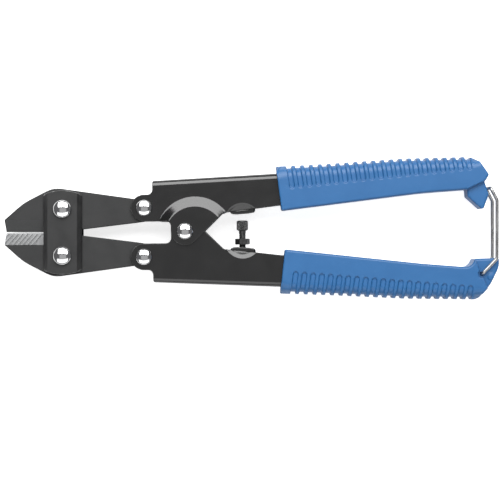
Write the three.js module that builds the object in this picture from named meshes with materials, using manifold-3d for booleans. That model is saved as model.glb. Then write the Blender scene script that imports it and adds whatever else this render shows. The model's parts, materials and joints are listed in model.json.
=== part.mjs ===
// Compact bolt cutters, 210 mm long, lying flat. Millimetres, +Z up. The jaws point to -X, the
// grips to +X and the upper handle lies on the +Y side. The jaw pivots lie on x = 0 of the head
// frame, and the cutting line is y = 0. Handles, grips and latch are drawn in the pair frame, which
// has its origin on the centre pivot and its u axis along the line halfway between the handles.
import * as THREE from 'three';
import { mergeVertices } from 'three/addons/utils/BufferGeometryUtils.js';
import Module from 'manifold-3d';

const wasm = await Module();
wasm.setup();

const degrees = THREE.MathUtils.degToRad;

// ---- Driving dimensions ----
const GAP = 0.2; // running clearance between pieces
const ARC_STEP = degrees(15);
const ROUND_SIDES = 24;
const DOME_STEPS = 4;

const JAW_PIVOT_Y = 9.9; // jaw pivots at (0, +-JAW_PIVOT_Y)
const LINK_PIVOT = [34.55, 10.35]; // jaw tail to handle, mirrored for the lower one
const CENTRE_PIVOT = [51.95, 0.5];
const LEAN = degrees(0.7); // of the pair frame
const OPEN_PIVOT_PLAY = 0.15; // extra radius of the upper jaw's tail hole

const JAW_HALF = 3.6; // half thickness of a jaw
const SHEET = 1.7; // pressed steel of the handles
const CHANNEL_IN = JAW_HALF + GAP;
const CHANNEL_OUT = CHANNEL_IN + SHEET;
const LUG_IN = CHANNEL_OUT + GAP; // the upper handle's lug, stepped outward
const LUG_OUT = LUG_IN + SHEET;
const STRAP_IN = JAW_HALF + GAP;
const STRAP_OUT = STRAP_IN + 2.8;
const GRIP_HALF = 8.8;

const JAW_SHANK = 2.5; // rivet radii
const LINK_SHANK = 2.0;
const CENTRE_SHANK = 2.2;
const JAW_HEAD = 3.95;
const SMALL_HEAD = 3.45;

const EAR = 5.65; // handle's round end at the link rivet
const LUG = 5.95; // handle's round end at the centre rivet
const WEB_FRONT = [-13.75, 21.7];
const WEB_SLOPE = degrees(2.67);
const BEND = 2.5; // outside radius of the channel's bends
const NOTCH_ANGLE = degrees(44.3);
const INNER_SLOPE = degrees(6.87);
const TANG_END = 108;

const STOP_U = 24.35; // stop screw's place along the pair
const SCREW_RADIUS = 1.45;
const SCREW_HEAD = [-0.1, 4.35]; // lowest and highest v of the head
const NUT_SPAN = [-5.95, -3.4];

const HOOK_HALF = 6.5;
const RECESS_HALF = 6.4;
const BAIL_PIVOT = [125.55, -19.5];
const BAIL_LEG = 7.8; // z of the bail's two legs
const WIRE = 0.75;
const SPRING_WIRE = 0.6;

// ---- Solids ----
/** A closed solid from a three.js geometry. */
function solid(geometry) {
  geometry.deleteAttribute('normal');
  geometry.deleteAttribute('uv');
  const merged = mergeVertices(geometry, 1e-4);
  const index = merged.index.array;
  const triangles = [];
  for (let i = 0; i < index.length; i += 3) {
    const [a, b, c] = index.slice(i, i + 3);
    if (a !== b && b !== c && c !== a) triangles.push(a, b, c);
  }
  return new wasm.Manifold(new wasm.Mesh({
    numProp: 3,
    vertProperties: new Float32Array(merged.attributes.position.array),
    triVerts: new Uint32Array(triangles),
  }));
}

/** A named mesh from a solid, mirrored to the -Y side for the lower pieces. */
function mesh(name, body, material, mirrored = false) {
  const { vertProperties, triVerts, numProp } = body.getMesh();
  const positions = [];
  for (let i = 0; i < vertProperties.length; i += numProp) {
    const y = vertProperties[i + 1];
    positions.push(vertProperties[i], mirrored ? -y : y, vertProperties[i + 2]);
  }
  const index = Array.from(triVerts);
  if (mirrored) index.reverse();
  const geometry = new THREE.BufferGeometry();
  geometry.setAttribute('position', new THREE.Float32BufferAttribute(positions, 3));
  geometry.setIndex(index);
  geometry.computeVertexNormals();
  const made = new THREE.Mesh(geometry, material);
  made.name = name;
  return made;
}

/** Outline through corners [x, y, radius], each rounded by its own radius. */
function outline(corners) {
  const points = [];
  corners.forEach(([x, y, radius = 0], index) => {
    const corner = new THREE.Vector2(x, y);
    if (!radius) {
      points.push(corner);
      return;
    }
    const back = new THREE.Vector2(...corners.at(index - 1)).sub(corner).normalize();
    const ahead = new THREE.Vector2(...corners[(index + 1) % corners.length]).sub(corner).normalize();
    const half = Math.acos(back.dot(ahead)) / 2;
    const inward = back.clone().add(ahead).normalize();
    const centre = corner.clone().addScaledVector(inward, radius / Math.sin(half));
    const start = corner.clone().addScaledVector(back, radius / Math.tan(half)).sub(centre);
    const turn = (Math.PI - 2 * half) * (back.cross(ahead) < 0 ? 1 : -1);
    const steps = Math.max(2, Math.ceil(Math.abs(turn) / ARC_STEP));
    for (let step = 0; step <= steps; step += 1) {
      const point = start.clone().rotateAround(new THREE.Vector2(), (turn * step) / steps);
      points.push(point.add(centre));
    }
  });
  return new THREE.Shape(points);
}

/** Upright prism of an outline between two heights. */
function prism(corners, low, high) {
  const shape = outline(corners);
  const geometry = new THREE.ExtrudeGeometry(shape, { depth: high - low, bevelEnabled: false });
  return solid(geometry.translate(0, 0, low));
}

/** Upright plate of an outline, centred on z = 0, with rounded upper and lower edges. */
function softPlate(corners, half, edge) {
  const geometry = new THREE.ExtrudeGeometry(outline(corners), {
    depth: 2 * (half - edge),
    bevelThickness: edge,
    bevelSize: edge,
    bevelOffset: -edge,
    bevelSegments: 3,
  });
  return solid(geometry.translate(0, 0, edge - half));
}

/** A prism above z = 0 and its copy below. */
function twinPrisms(corners, low, high) {
  return prism(corners, low, high).add(prism(corners, -high, -low));
}

/** Upright round bar. */
function bar(x, y, radius, half) {
  const geometry = new THREE.CylinderGeometry(radius, radius, 2 * half, ROUND_SIDES);
  return solid(geometry.rotateX(Math.PI / 2).translate(x, y, 0));
}

/** Prism along a direction in the plane, from a section of [outward, z] corners. */
function sweep(corners, origin, slope, back, ahead) {
  const shape = outline(corners);
  const geometry = new THREE.ExtrudeGeometry(shape, { depth: ahead + back, bevelEnabled: false });
  const along = new THREE.Vector3(Math.cos(slope), Math.sin(slope), 0);
  const outward = new THREE.Vector3(-Math.sin(slope), Math.cos(slope), 0);
  const frame = new THREE.Matrix4().makeBasis(outward, new THREE.Vector3(0, 0, 1), along);
  frame.setPosition(origin[0] - back * along.x, origin[1] - back * along.y, 0);
  return solid(geometry.applyMatrix4(frame));
}

/** Solid of revolution about z from [radius, z] points that start and end on the axis. */
function turned(profile, sides = ROUND_SIDES) {
  const points = profile.map(([radius, z]) => new THREE.Vector2(radius, z));
  return solid(new THREE.LatheGeometry(points, sides).rotateX(Math.PI / 2));
}

/** Wire of round section along a path of straight runs with rounded bends. */
function wire(points, bend, radius, steps, sides) {
  const path = new THREE.CurvePath();
  let from = points[0];
  for (let i = 1; i < points.length - 1; i += 1) {
    const before = points[i].clone().sub(points[i - 1]).setLength(bend);
    const after = points[i + 1].clone().sub(points[i]).setLength(bend);
    const start = points[i].clone().sub(before);
    const end = points[i].clone().add(after);
    path.add(new THREE.LineCurve3(from, start));
    path.add(new THREE.QuadraticBezierCurve3(start, points[i], end));
    from = end;
  }
  path.add(new THREE.LineCurve3(from, points.at(-1)));
  return alongPath(path, radius, steps, sides);
}

function alongPath(path, radius, steps, sides) {
  const ring = [];
  for (let side = 0; side < sides; side += 1) {
    const angle = (2 * Math.PI * side) / sides;
    ring.push(new THREE.Vector2(radius * Math.cos(angle), radius * Math.sin(angle)));
  }
  const options = { extrudePath: path, steps, bevelEnabled: false };
  return solid(new THREE.ExtrudeGeometry(new THREE.Shape(ring), options));
}

/** A point of the head frame in the pair frame. */
function toPair([x, y]) {
  const moved = new THREE.Vector2(x - CENTRE_PIVOT[0], y - CENTRE_PIVOT[1]);
  return moved.rotateAround(new THREE.Vector2(), -LEAN).toArray();
}

// ---- Materials ----
const finish = (color, roughness, metalness) => (
  new THREE.MeshStandardMaterial({ color, roughness, metalness })
);
const forgedSteel = finish(0x3d3d3f, 0.55, 0.7);
const blackSheet = finish(0x202122, 0.45, 0.4);
const chrome = finish(0xc8c9cc, 0.18, 1);
const bluePlastic = finish(0x3f7fbe, 0.45, 0);
const brightWire = finish(0xb9babd, 0.25, 1);
const darkScrew = finish(0x3a3a3c, 0.4, 0.8);
const springSteel = finish(0x8b8d90, 0.35, 1);

// ---- Jaws and straps, in the head frame ----
const TIP_X = -24.35;
const BEVEL_TOP = 5.3;
const BEVEL_END = -7; // x where the cutting edge ends, under the straps
const EDGE_Y = 0.15; // half of the gap left between the closed edges
const EDGE_HALF = 0.3;
const RELIEF_START = -1.6;
const RELIEF_SLOPE = degrees(6.93);
const TAIL_X = 34;
const TAIL_TOP = 13.75;
const KNUCKLE = 5;
const reliefY = (x) => EDGE_Y + (x - RELIEF_START) * Math.tan(RELIEF_SLOPE);

function jaw(tailHole) {
  const plate = prism([
    [TIP_X, EDGE_Y],
    [RELIEF_START, EDGE_Y],
    [TAIL_X, reliefY(TAIL_X)],
    [TAIL_X, TAIL_TOP],
    [-4.05, 19.05, 10],
    [-16.8, 12.45, 20],
    [TIP_X - 0.5, BEVEL_TOP, 0.6],
  ], -JAW_HALF, JAW_HALF);
  const bevel = (side) => sweep([
    [BEVEL_TOP, side * JAW_HALF],
    [BEVEL_TOP, side * (JAW_HALF + 1)],
    [-1, side * (JAW_HALF + 1)],
    [-1, side * EDGE_HALF],
    [EDGE_Y, side * EDGE_HALF],
  ], [0, 0], 0, 2 - TIP_X, BEVEL_END);
  return plate
    .add(bar(...LINK_PIVOT, KNUCKLE, JAW_HALF))
    .subtract(bevel(1))
    .subtract(bevel(-1))
    .subtract(bar(0, JAW_PIVOT_Y, JAW_SHANK + GAP, 2 * JAW_HALF))
    .subtract(bar(...LINK_PIVOT, tailHole, 2 * JAW_HALF));
}

function strap(side) {
  const halfWidth = 8.15;
  const chamfer = 1.9;
  const crown = 19;
  const crownRadius = 19;
  const shoulder = 16.1;
  const plate = prism([
    [-halfWidth, shoulder, 0.9],
    [-halfWidth, -shoulder, 0.9],
    [0, -crown, crownRadius],
    [halfWidth, -shoulder, 0.9],
    [halfWidth, shoulder, 0.9],
    [0, crown, crownRadius],
  ], -GRIP_HALF, GRIP_HALF);
  const section = sweep([
    [halfWidth, STRAP_IN * side],
    [halfWidth, (STRAP_OUT - chamfer) * side],
    [halfWidth - chamfer, STRAP_OUT * side],
    [chamfer - halfWidth, STRAP_OUT * side],
    [-halfWidth, (STRAP_OUT - chamfer) * side],
    [-halfWidth, STRAP_IN * side],
  ], [0, 0], Math.PI / 2, 2 * crown, 2 * crown);
  return plate
    .intersect(section)
    .subtract(bar(0, JAW_PIVOT_Y, JAW_SHANK + GAP, GRIP_HALF))
    .subtract(bar(0, -JAW_PIVOT_Y, JAW_SHANK + GAP, GRIP_HALF));
}

/** Domed rivet through a stack of half thickness grip, with both heads formed. */
function rivet(shank, head, grip, height) {
  const rim = 0.35;
  const seat = grip + GAP;
  const dome = [];
  for (let step = 0; step <= DOME_STEPS; step += 1) {
    const angle = (Math.PI / 2) * (step / DOME_STEPS);
    dome.push([head * Math.cos(angle), seat + rim + (height - rim) * Math.sin(angle)]);
  }
  dome[dome.length - 1][0] = 0;
  const upper = [[shank, seat], [head, seat], ...dome];
  const lower = upper.map(([radius, z]) => [radius, -z]).reverse();
  return turned([...lower, ...upper]);
}

// ---- Handles, in the pair frame, drawn on the +v side ----
const webV = (u) => WEB_FRONT[1] + (u - WEB_FRONT[0]) * Math.tan(WEB_SLOPE);
const HEEL = [16.28, 7.66]; // where the notch meets the inner edge
const innerV = (u) => HEEL[1] + (u - HEEL[0]) * Math.tan(INNER_SLOPE);

/** Side view of one handle: ear, web front, tang, heel, notch and lug. */
function handleOutline(ear) {
  const lugCorner = LUG / Math.tan((Math.PI / 2 - NOTCH_ANGLE) / 2);
  return [
    [WEB_FRONT[0], WEB_FRONT[1], 0.8],
    [WEB_FRONT[0], ear[1] + EAR, 2.1],
    [ear[0] - EAR, ear[1] + EAR, EAR],
    [ear[0] - EAR, ear[1] - EAR, EAR],
    [-LUG, ear[1] - EAR, 2.3],
    [-LUG, -lugCorner, LUG],
    [HEEL[0], HEEL[1], 1.5],
    [TANG_END, innerV(TANG_END)],
    [TANG_END, webV(TANG_END)],
  ];
}

/** Rounded channel section swept along the web, to a given depth below the web's outer face. */
function channelBar(half, top, radius) {
  const depth = 60;
  return sweep([
    [top, half, radius],
    [top, -half, radius],
    [-depth, -half],
    [-depth, half],
  ], WEB_FRONT, WEB_SLOPE, 30, TANG_END + 40);
}

/** Channel of constant section, with flat side walls. */
function channel(corners) {
  return prism(corners, -CHANNEL_OUT, CHANNEL_OUT)
    .intersect(channelBar(CHANNEL_OUT, 0, BEND))
    .subtract(channelBar(CHANNEL_IN, -SHEET, BEND - SHEET));
}

const STEP_CENTRE = [4.2, -2.1];
const STEP_FLAT = 12.35; // radius of the flat top of the step
const STEP_FOOT = 16.9; // radius where the step meets the plain wall

/** One side wall of the upper handle, stepped outward round the centre pivot. */
function steppedWall(corners, side) {
  const reach = STEP_FOOT + 4;
  const profile = [
    [0, LUG_IN],
    [STEP_FLAT, LUG_IN],
    [STEP_FOOT, CHANNEL_IN],
    [reach, CHANNEL_IN],
    [reach, CHANNEL_OUT],
    [STEP_FOOT, CHANNEL_OUT],
    [STEP_FLAT, LUG_OUT],
    [0, LUG_OUT],
  ];
  const points = profile.map(([radius, z]) => new THREE.Vector2(radius, z));
  const disc = new THREE.LatheGeometry(points, 2 * ROUND_SIDES).rotateX(Math.PI / 2);
  if (side < 0) disc.rotateX(Math.PI);
  disc.translate(...STEP_CENTRE, 0);
  return solid(disc).intersect(prism(corners, -GRIP_HALF, GRIP_HALF));
}

/** Pad bent in across the channel's mouth for the stop screw. */
function stopPad() {
  const half = CHANNEL_OUT - 0.9;
  return prism([
    [18.9, 8.5],
    [19.5, 7.3, 0.6],
    [21.9, 6.9, 1],
    [27.2, 7.3, 1],
    [29.4, 7.65, 0.6],
    [29.9, 8.9],
    [29.9, 10.6],
    [26.9, 9.1],
    [21.6, 8.6],
    [18.9, 9.8],
  ], -half, half);
}

function handle(ear, stepped) {
  const corners = handleOutline(ear);
  let body = channel(corners);
  if (stepped) {
    const walls = steppedWall(corners, 1).add(steppedWall(corners, -1));
    body = body
      .subtract(bar(...STEP_CENTRE, STEP_FOOT, GRIP_HALF))
      .add(walls.intersect(bar(...STEP_CENTRE, STEP_FOOT + 0.5, GRIP_HALF)));
  }
  return body
    .add(stopPad())
    .subtract(bar(...ear, LINK_SHANK + GAP, GRIP_HALF))
    .subtract(bar(0, 0, CENTRE_SHANK + GAP, GRIP_HALF));
}

// ---- Grips, in the pair frame, drawn on the +v side ----
const GRIP_EDGE = 0.7; // rounding of the long edges
const UPPER_GRIP_FRONT = 38.8;
const LOWER_GRIP_FRONT = 40.0;
const gripSide = (front) => [
  [front, 26.6, 1.2],
  [front + 2.2, 8.2, 1.2],
  [100.5, 15.0, 60],
];
const gripBack = [
  [93, 29.75, 60],
  [62, 27.7, 80],
];

/** Socket for the handle's tang, open at the grip's front. */
function tangSocket() {
  const room = 0.3;
  return prism([
    [30, webV(30) + room],
    [30, innerV(30) - room],
    [TANG_END + room, innerV(TANG_END) - room],
    [TANG_END + room, webV(TANG_END) + room],
  ], -CHANNEL_OUT - room, CHANNEL_OUT + room);
}

function upperGrip() {
  const body = softPlate([
    ...gripSide(UPPER_GRIP_FRONT),
    [119.6, 16.3, 0.8],
    [127.2, 19.9, 0.8],
    [128.9, 22.4, 1.0],
    [124.9, 28.2, 3],
    [120.6, 30.1, 5],
    ...gripBack,
  ], GRIP_HALF, GRIP_EDGE);
  const hook = softPlate([
    [119.8, 13.2, 1],
    [126.3, 7.2, 1.1],
    [128.95, 14.1, 0.9],
    [127.2, 19.0],
    [126, 24],
    [116, 24],
  ], HOOK_HALF, 0.5);
  return body.add(hook).subtract(tangSocket());
}

function lowerGrip() {
  const body = softPlate([
    ...gripSide(LOWER_GRIP_FRONT),
    [120.8, 16.8, 1.5],
    [122.4, 13.2, 0.9],
    [132.9, 13.0, 0.8],
    [132.95, 16.6, 8],
    [129.1, 24.3, 14],
    [123.4, 30.6, 5],
    ...gripBack,
  ], GRIP_HALF, GRIP_EDGE);
  const [u, v] = [BAIL_PIVOT[0], -BAIL_PIVOT[1]];
  const cheeks = [
    [121.9, 12],
    [140, 12],
    [140, 28],
    [128.95, 28],
  ];
  const pocket = bar(u, v, 1.7, 2 * GRIP_HALF).subtract(bar(u, v, 3, RECESS_HALF));
  return body
    .subtract(twinPrisms(cheeks, RECESS_HALF, 2 * GRIP_HALF))
    .subtract(pocket)
    .subtract(bar(u, v, WIRE + GAP, GRIP_HALF))
    .subtract(tangSocket());
}

// ---- Latch, stop screw and spring, in the pair frame ----
const BAIL_BENDS = [[131.75, -13.1], [132.1, 11.5]];
const CROSSBAR = [129.5, 16.7];

function bail() {
  const leg = (z) => [BAIL_PIVOT, ...BAIL_BENDS, CROSSBAR].map(([u, v]) => new THREE.Vector3(u, v, z));
  const inside = 3.4; // how near the legs' ends come to the middle of the grip
  return wire([
    new THREE.Vector3(...BAIL_PIVOT, inside),
    ...leg(BAIL_LEG),
    ...leg(-BAIL_LEG).reverse(),
    new THREE.Vector3(...BAIL_PIVOT, -inside),
  ], 1.3, WIRE, 76, 8);
}

/** Torsion spring: a coil round the bush, with one leg in each channel. */
function torsionSpring() {
  const coil = 4.15;
  const turns = 3;
  const halfHeight = 2.4;
  const foot = 19.6;
  const points = [
    new THREE.Vector3(14, foot + 0.5, halfHeight),
    new THREE.Vector3(7.5, foot, halfHeight),
    new THREE.Vector3(coil + 0.6, foot - 2.5, halfHeight),
    new THREE.Vector3(coil, foot / 2, halfHeight),
  ];
  const steps = turns * 12;
  for (let step = 0; step <= steps; step += 1) {
    const angle = (-2 * Math.PI * turns * step) / steps;
    const z = halfHeight * (1 - (2 * step) / steps);
    points.push(new THREE.Vector3(coil * Math.cos(angle), coil * Math.sin(angle), z));
  }
  points.push(
    new THREE.Vector3(coil, -foot / 2, -halfHeight),
    new THREE.Vector3(coil + 0.6, 2.5 - foot, -halfHeight),
    new THREE.Vector3(7.5, -foot, -halfHeight),
    new THREE.Vector3(14, -foot - 0.5, -halfHeight),
  );
  return alongPath(new THREE.CatmullRomCurve3(points), SPRING_WIRE, 96, 6);
}

function stopScrew() {
  const [low, high] = SCREW_HEAD;
  const radius = 2.45;
  const chamfer = 0.5;
  const tip = -12.5;
  const points = [
    [0, tip],
    [SCREW_RADIUS - 0.4, tip],
    [SCREW_RADIUS, tip + 0.4],
    [SCREW_RADIUS, low],
    [radius - chamfer, low],
    [radius, low + chamfer],
    [radius, high - chamfer],
    [radius - chamfer, high],
    [0, high],
  ].map(([x, y]) => new THREE.Vector2(x, y));
  return solid(new THREE.LatheGeometry(points, ROUND_SIDES).translate(STOP_U, 0, 0));
}

function lockNut() {
  const acrossCorners = 6.35;
  const [low, high] = NUT_SPAN;
  const shape = new THREE.Shape();
  for (let corner = 0; corner < 6; corner += 1) {
    const angle = (Math.PI / 3) * corner + degrees(8);
    shape[corner ? 'lineTo' : 'moveTo'](
      (acrossCorners / 2) * Math.cos(angle),
      (acrossCorners / 2) * Math.sin(angle),
    );
  }
  const hole = new THREE.Path();
  hole.absarc(0, 0, SCREW_RADIUS + GAP, 0, 2 * Math.PI, true);
  shape.holes.push(hole);
  const geometry = new THREE.ExtrudeGeometry(shape, { depth: high - low, bevelEnabled: false });
  return solid(geometry.rotateX(-Math.PI / 2).translate(STOP_U, low, 0));
}

function bush() {
  const inner = CENTRE_SHANK + GAP;
  const outer = 3.2;
  const ring = [[inner, -1], [outer, -1], [outer, 1], [inner, 1], [inner, -1]];
  return turned(ring.map(([radius, end]) => [radius, end * JAW_HALF]));
}

/** Threaded hole of the lower handle's pad. */
const screwHole = () => {
  const geometry = new THREE.CylinderGeometry(SCREW_RADIUS + GAP, SCREW_RADIUS + GAP, 14, 20);
  return solid(geometry.translate(STOP_U, 9, 0));
};

// ---- Assembly ----
const upperEar = toPair(LINK_PIVOT);
const [lowerEarU, lowerEarV] = toPair([LINK_PIVOT[0], -LINK_PIVOT[1]]);
const lowerEar = [lowerEarU, -lowerEarV];
const LARGE_DOME = 2.3;
const SMALL_DOME = 1.8;
const jawRivet = rivet(JAW_SHANK, JAW_HEAD, STRAP_OUT, LARGE_DOME);
const linkRivet = rivet(LINK_SHANK, SMALL_HEAD, CHANNEL_OUT, SMALL_DOME);
const pivotRivet = rivet(CENTRE_SHANK, SMALL_HEAD, LUG_OUT, SMALL_DOME);
const tailHole = LINK_SHANK + GAP;

function placed(x, y, part) {
  part.position.set(x, y, 0);
  return part;
}

const head = new THREE.Group();
head.add(
  mesh('upper_jaw', jaw(tailHole + OPEN_PIVOT_PLAY), forgedSteel),
  mesh('lower_jaw', jaw(tailHole), forgedSteel, true),
  mesh('front_strap', strap(1), forgedSteel),
  mesh('rear_strap', strap(-1), forgedSteel),
  placed(0, JAW_PIVOT_Y, mesh('upper_jaw_rivet', jawRivet, chrome)),
  placed(0, -JAW_PIVOT_Y, mesh('lower_jaw_rivet', jawRivet, chrome)),
  placed(LINK_PIVOT[0], LINK_PIVOT[1], mesh('upper_link_rivet', linkRivet, chrome)),
  placed(LINK_PIVOT[0], -LINK_PIVOT[1], mesh('lower_link_rivet', linkRivet, chrome)),
);

const pair = new THREE.Group();
pair.position.set(...CENTRE_PIVOT, 0);
pair.rotation.z = LEAN;
pair.add(
  mesh('upper_handle', handle(upperEar, true), blackSheet),
  mesh('lower_handle', handle(lowerEar, false).subtract(screwHole()), blackSheet, true),
  mesh('pivot_rivet', pivotRivet, chrome),
  mesh('pivot_bush', bush(), forgedSteel),
  mesh('handle_spring', torsionSpring(), springSteel),
  mesh('upper_grip', upperGrip(), bluePlastic),
  mesh('lower_grip', lowerGrip(), bluePlastic, true),
  mesh('stop_screw', stopScrew(), darkScrew),
  mesh('lock_nut', lockNut(), darkScrew),
  mesh('latch_bail', bail(), brightWire),
);

// The origin goes to the middle of the underside of the whole tool's box.
const model = new THREE.Group();
model.add(head, pair);
model.updateMatrixWorld(true);
const extent = new THREE.Box3().setFromObject(model, true);
const middle = extent.getCenter(new THREE.Vector3());
model.position.set(-middle.x, -middle.y, -extent.min.z);

export default model;
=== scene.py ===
"""Compact bolt cutters: the looks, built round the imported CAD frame.

Pieces are drawn in millimetres in two flat frames. The head frame has its origin halfway between the
jaw pivots. The pair frame has its origin on the centre pivot, and its x axis halfway between the
handles. z = 0 is the middle plane of the tool, and the lower pieces are mirrored copies of the upper.
"""
import json
import math

import bmesh
import bpy
import numpy as np
from mathutils import Matrix, Vector
from mathutils.geometry import delaunay_2d_cdt

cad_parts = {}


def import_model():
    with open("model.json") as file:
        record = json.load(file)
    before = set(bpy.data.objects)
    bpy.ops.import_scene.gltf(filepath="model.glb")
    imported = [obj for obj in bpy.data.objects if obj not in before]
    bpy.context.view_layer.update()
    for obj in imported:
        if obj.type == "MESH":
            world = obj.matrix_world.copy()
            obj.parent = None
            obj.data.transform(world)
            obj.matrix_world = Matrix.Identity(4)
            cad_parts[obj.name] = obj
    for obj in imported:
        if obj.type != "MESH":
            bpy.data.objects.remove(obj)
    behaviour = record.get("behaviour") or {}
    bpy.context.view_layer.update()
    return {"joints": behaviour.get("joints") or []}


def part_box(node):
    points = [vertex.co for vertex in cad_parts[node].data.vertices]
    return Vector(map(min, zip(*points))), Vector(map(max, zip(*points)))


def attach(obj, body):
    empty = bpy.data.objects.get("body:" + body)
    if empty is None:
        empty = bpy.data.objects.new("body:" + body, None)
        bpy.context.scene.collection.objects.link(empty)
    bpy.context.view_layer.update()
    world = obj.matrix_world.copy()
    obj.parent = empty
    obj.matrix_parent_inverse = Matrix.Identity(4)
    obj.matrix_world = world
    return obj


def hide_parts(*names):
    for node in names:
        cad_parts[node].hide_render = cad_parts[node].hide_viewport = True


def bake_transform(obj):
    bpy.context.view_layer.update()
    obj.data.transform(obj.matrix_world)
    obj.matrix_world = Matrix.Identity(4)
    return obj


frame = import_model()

MM = 0.001
RAD = math.radians

# ---- The frame: pivots and directions ----
JOINTS = {joint["name"]: joint for joint in frame["joints"]}


def pivot(joint):
    """A joint's place in millimetres."""
    return Vector(JOINTS[joint]["pos_m"]) / MM


upper_pivot = pivot("upper_jaw_swing")
lower_pivot = pivot("strap_swing")
screw_axis = Vector(JOINTS["stop_screw_travel"]["axis"])
HEAD = Matrix.Translation((upper_pivot + lower_pivot) / 2)
PAIR = Matrix.Translation(pivot("handles_open")) @ Matrix.Rotation(
    math.atan2(-screw_axis.x, screw_axis.y), 4, "Z"
)
TO_PAIR = PAIR.inverted()
JAW_PIVOT_Y = (upper_pivot.y - lower_pivot.y) / 2
link = HEAD.inverted() @ pivot("lower_jaw_swing")
LINK = (link.x, -link.y)


def pair_box(node):
    """A node's lowest and highest corners in the pair frame, in millimetres."""
    low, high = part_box(node)
    return TO_PAIR @ (low / MM), TO_PAIR @ (high / MM)


def half_thickness(node):
    low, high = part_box(node)
    return (high.z - low.z) / 2 / MM


JAW_HALF = half_thickness("upper_jaw")
CHANNEL_OUT = half_thickness("lower_handle")
LUG_OUT = half_thickness("upper_handle")
GRIP_HALF = half_thickness("upper_grip")
SHEET = 1.7
JAW_SHANK = 2.5  # rivet radii
LINK_SHANK = 2.0
CENTRE_SHANK = 2.2
STRAP_IN = (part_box("front_strap")[0].z / MM) - upper_pivot.z
STRAP_OUT = (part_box("front_strap")[1].z / MM) - upper_pivot.z
GAP = 0.2
OPEN_PIVOT_PLAY = 0.15  # extra radius of the upper jaw's tail hole


# ---- Flat geometry ----
def rounded(corners, step=RAD(9)):
    """Closed outline through corners (x, y, radius), each rounded by its own radius."""
    points = []
    for index, corner in enumerate(corners):
        x, y = corner[:2]
        radius = corner[2] if len(corner) > 2 else 0
        here = Vector((x, y))
        if not radius:
            points.append(here)
            continue
        back = (Vector(corners[index - 1][:2]) - here).normalized()
        ahead = (Vector(corners[(index + 1) % len(corners)][:2]) - here).normalized()
        half = math.acos(max(-1, min(1, back.dot(ahead)))) / 2
        centre = here + (back + ahead).normalized() * (radius / math.sin(half))
        start = here + back * (radius / math.tan(half)) - centre
        turn = math.pi - 2 * half
        if back.x * ahead.y - back.y * ahead.x > 0:
            turn = -turn
        steps = max(2, math.ceil(abs(turn) / step))
        for k in range(steps + 1):
            points.append(centre + Matrix.Rotation(turn * k / steps, 2) @ start)
    return points


def circle(centre, radius, sides=48):
    return [
        Vector((centre[0] + radius * math.cos(a), centre[1] + radius * math.sin(a)))
        for a in np.linspace(0, 2 * math.pi, sides, endpoint=False)
    ]


def sampled(points, spacing, closed=True):
    """The same line with extra points, no further apart than spacing."""
    ends = points[1:] + points[:1] if closed else points[1:]
    made = []
    for a, b in zip(points, ends):
        count = max(1, math.ceil((b - a).length / spacing))
        made += [a.lerp(b, k / count) for k in range(count)]
    return made if closed else made + [points[-1]]


def inset(points, distance, closed=True):
    """The line moved sideways to its left by a distance, corners kept."""
    made = []
    count = len(points)
    for i, here in enumerate(points):
        before = points[i - 1] if closed or i else here
        after = points[(i + 1) % count] if closed or i < count - 1 else here
        into = (here - before).normalized()
        out = (after - here).normalized()
        along = (into + out).normalized()
        spread = max(0.5, along.dot(out if out.length else into))
        made.append(here + Vector((-along.y, along.x)) * (distance / spread))
    return made


def distance_to(points, line, closed=True):
    """Distance of each point (n, 2) to a line, and how far along the line that is."""
    a = np.array([p[:2] for p in line])
    b = np.roll(a, -1, axis=0)
    if not closed:
        a, b = a[:-1], b[:-1]
    span = b - a
    length = np.hypot(*span.T)
    start = np.concatenate([[0], np.cumsum(length)[:-1]])
    best = np.full(len(points), 1e9)
    where = np.zeros(len(points))
    for k in range(len(a)):
        if length[k] < 1e-9:
            continue
        t = np.clip((points - a[k]) @ span[k] / length[k] ** 2, 0, 1)
        gap = np.hypot(*(points - a[k] - t[:, None] * span[k]).T)
        closer = gap < best
        best[closer] = gap[closer]
        where[closer] = (start[k] + t * length[k])[closer]
    return best, where


def inside(points, loop):
    """Which points (n, 2) lie inside a closed loop."""
    x, y = points.T
    result = np.zeros(len(points), bool)
    for a, b in zip(loop, loop[1:] + loop[:1]):
        if a.y == b.y:
            continue
        crosses = (a.y > y) != (b.y > y)
        result ^= crosses & (x < (b.x - a.x) * (y - a.y) / (b.y - a.y) + a.x)
    return result


def ramp(t, soft=0.25):
    """0 below t = 0 and 1 above t = 1, straight between, with its two bends eased."""
    t = np.clip(t, 0, 1)
    scale = 2 * soft * (1 - soft)
    straight = (t - soft / 2) / (1 - soft)
    return np.where(
        t < soft, t**2 / scale, np.where(t > 1 - soft, 1 - (1 - t) ** 2 / scale, straight)
    )


def edge_drop(distance, radius):
    """How far a rounded edge falls below the face at a distance from the outline."""
    reach = np.clip(radius - distance, 0, radius)
    return radius - np.sqrt(np.maximum(radius**2 - reach**2, 0))


EDGE_STEPS = [1 - math.cos(RAD(angle)) for angle in (18, 36, 54, 72, 90)]


def edge_lines(outline, radius, closed=True):
    """Feature lines that carry the rounding of an edge."""
    return [(inset(outline, share * radius, closed), closed) for share in EDGE_STEPS]


def straight(start, end):
    """An open feature line."""
    return [Vector(start), Vector(end)], False


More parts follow.
